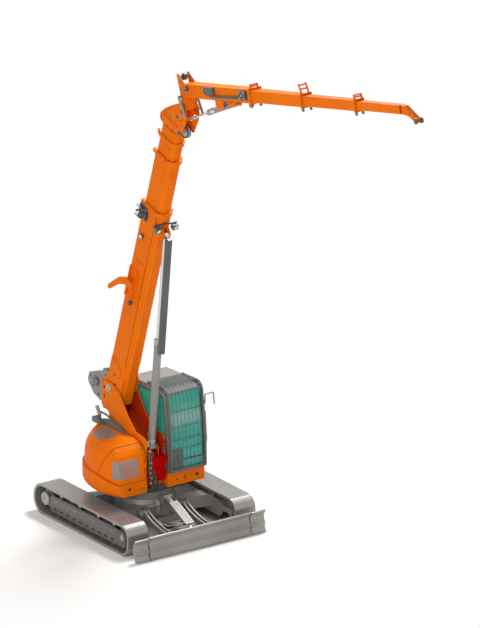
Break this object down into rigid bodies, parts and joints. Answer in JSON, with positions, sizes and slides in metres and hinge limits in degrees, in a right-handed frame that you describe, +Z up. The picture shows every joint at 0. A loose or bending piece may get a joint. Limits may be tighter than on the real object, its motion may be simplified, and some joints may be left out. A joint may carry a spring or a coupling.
{
  "type": "crawler crane",
  "caption": "Compact crawler crane with a telescopic boom and a luffing fly jib raised for lifting, a caged cab at its left and a blade between its tracks.",
  "frame": {"origin": "on the ground, under the centre of the bounding box", "axes": "+X to the machine's front, where the jib and the blade are; +Y to its left, the cab's side; +Z up"},
  "size_m": [10.3866, 2.9, 10.6069],
  "materials": {
    "chrome_rod": "polished",
    "dark_steel": "matte",
    "glass_teal": "polished",
    "grey_paint": "satin",
    "lamp_pale": "gloss",
    "orange_paint": "satin",
    "red_paint": "satin",
    "seat_cloth": "woven",
    "track_steel": "matte"
  },
  "bodies": {
    "root": {"track_left": "track_steel", "track_right": "track_steel", "side_frame_left": "grey_paint", "side_frame_right": "grey_paint", "rollers_left": "dark_steel", "rollers_right": "dark_steel", "sprocket_left": "grey_paint", "sprocket_right": "grey_paint", "idler_left": "grey_paint", "idler_right": "grey_paint", "car_body": "grey_paint"},
    "blade": {"blade": "grey_paint"},
    "blade_barrel": {"blade_cylinder_barrel": "grey_paint"},
    "blade_rod": {"blade_cylinder_rod": "chrome_rod"},
    "upper": {"deck": "dark_steel", "pedestal": "orange_paint", "engine_hood": "orange_paint", "counterweight": "orange_paint", "engine": "dark_steel", "exhaust": "grey_paint", "cab_shell": "grey_paint", "cab_glass": "glass_teal", "cab_guard": "grey_paint", "cab_base": "orange_paint", "cab_seat": "seat_cloth", "seat_stand": "dark_steel", "cab_levers": "dark_steel", "handrails": "grey_paint", "front_bracket": "red_paint", "top_louvre": "grey_paint", "hose_cover": "dark_steel"},
    "side_cover": {"side_cover": "orange_paint", "front_louvre": "grey_paint"},
    "door": {"cab_door": "grey_paint", "cab_door_glass": "glass_teal"},
    "boom": {"boom_base": "orange_paint", "winch_frame": "grey_paint", "stow_bracket": "orange_paint", "boom_fittings": "dark_steel", "work_lamps": "lamp_pale"},
    "winch_drum": {"winch_drum": "dark_steel"},
    "derrick_barrel": {"derrick_barrel": "grey_paint"},
    "derrick_rod": {"derrick_rod": "chrome_rod", "derrick_rod_guard": "dark_steel"},
    "section_2": {"boom_section_2": "orange_paint"},
    "section_3": {"boom_section_3": "orange_paint"},
    "head_sheave": {"head_sheave": "grey_paint"},
    "jib": {"jib_base": "orange_paint", "jib_links": "grey_paint", "jib_fittings": "dark_steel"},
    "jib_barrel": {"jib_cylinder_barrel": "grey_paint"},
    "jib_rod": {"jib_cylinder_rod": "chrome_rod"},
    "jib_2": {"jib_section_2": "orange_paint"},
    "jib_3": {"jib_section_3": "orange_paint"},
    "jib_4": {"jib_section_4": "orange_paint", "nose_rollers": "dark_steel"}
  },
  "joints": [
    {"name": "slew", "type": "hinge", "parent": "root", "child": "upper", "pos_m": [-3.69, 0, 0.7], "axis": [0, 0, 1], "continuous": true},
    {"name": "blade_lift", "type": "hinge", "parent": "root", "child": "blade", "pos_m": [-3.05, 0, 0.4], "axis": [0, -1, 0], "range_deg": [-15, 20]},
    {"name": "blade_barrel_turn", "type": "hinge", "parent": "root", "child": "blade_barrel", "pos_m": [-2.95, 0, 0.65], "axis": [0, -1, 0], "range_deg": [-15.94, 20.92]},
    {"name": "blade_rod_slide", "type": "slide", "parent": "blade_barrel", "child": "blade_rod", "axis": [0.9051, 0, -0.4253], "range_m": [-0.103, 0.08]},
    {"name": "boom_raise", "type": "hinge", "parent": "upper", "child": "boom", "pos_m": [-4.388, -0.1, 2.415], "axis": [0, -1, 0], "range_deg": [-70, 0]},
    {"name": "derrick_barrel_turn", "type": "hinge", "parent": "upper", "child": "derrick_barrel", "pos_m": [-3.32, -0.1, 1.55], "axis": [0, -1, 0], "range_deg": [-72.27, 1]},
    {"name": "derrick_rod_slide", "type": "slide", "parent": "derrick_barrel", "child": "derrick_rod", "axis": [0.1079, 0, 0.9942], "range_m": [-1.585, 0.01]},
    {"name": "section_2_slide", "type": "slide", "parent": "boom", "child": "section_2", "axis": [0.2965, 0, 0.955], "range_m": [-1.05, 2.3]},
    {"name": "section_3_slide", "type": "slide", "parent": "section_2", "child": "section_3", "axis": [0.2965, 0, 0.955], "range_m": [-0.3, 2.3]},
    {"name": "head_sheave_spin", "type": "hinge", "parent": "section_3", "child": "head_sheave", "pos_m": [-2.19216, -0.1, 8.03671], "axis": [0, -1, 0], "continuous": true},
    {"name": "winch_spin", "type": "hinge", "parent": "boom", "child": "winch_drum", "pos_m": [-4.84314, -0.1, 2.39926], "axis": [0, -1, 0], "continuous": true},
    {"name": "jib_luff", "type": "hinge", "parent": "section_3", "child": "jib", "pos_m": [-2.06807, -0.1, 8.49031], "axis": [0, -1, 0], "range_deg": [-6, 50]},
    {"name": "jib_barrel_turn", "type": "hinge", "parent": "jib", "child": "jib_barrel", "pos_m": [-0.58912, -0.1, 9.05388], "axis": [0, -1, 0], "range_deg": [-3.9, 1.35]},
    {"name": "jib_rod_slide", "type": "slide", "parent": "jib_barrel", "child": "jib_rod", "axis": [-0.8967, 0, -0.4426], "range_m": [-0.023, 0.114]},
    {"name": "jib_2_slide", "type": "slide", "parent": "jib", "child": "jib_2", "axis": [0.972, 0, 0.2351], "range_m": [-1.5, 0.05]},
    {"name": "jib_3_slide", "type": "slide", "parent": "jib_2", "child": "jib_3", "axis": [0.972, 0, 0.2351], "range_m": [-1.51, 0.06]},
    {"name": "jib_4_slide", "type": "slide", "parent": "jib_3", "child": "jib_4", "axis": [0.972, 0, 0.2351], "range_m": [-1.3, 0.06]},
    {"name": "cab_door_swing", "type": "hinge", "parent": "upper", "child": "door", "pos_m": [-4.016, 0.959, 1.8], "axis": [0, 0, 1], "range_deg": [0, 160]},
    {"name": "side_cover_swing", "type": "hinge", "parent": "upper", "child": "side_cover", "pos_m": [-3.101, -0.374, 1.22], "axis": [0, 0, 1], "range_deg": [0, 75]}
  ],
  "couplings": [
    {"joint": "blade_barrel_turn", "follows": "blade_lift", "ratio": 0.996},
    {"joint": "blade_rod_slide", "follows": "blade_lift", "m_per_rad": -0.266},
    {"joint": "derrick_barrel_turn", "follows": "boom_raise", "ratio": 1.0181},
    {"joint": "derrick_rod_slide", "follows": "boom_raise", "m_per_rad": 1.289},
    {"joint": "jib_barrel_turn", "follows": "jib_luff", "ratio": -0.058},
    {"joint": "jib_rod_slide", "follows": "jib_luff", "m_per_rad": 0.1195},
    {"joint": "jib_3_slide", "follows": "jib_2_slide", "ratio": 1},
    {"joint": "jib_4_slide", "follows": "jib_2_slide", "ratio": 0.85}
  ]
}
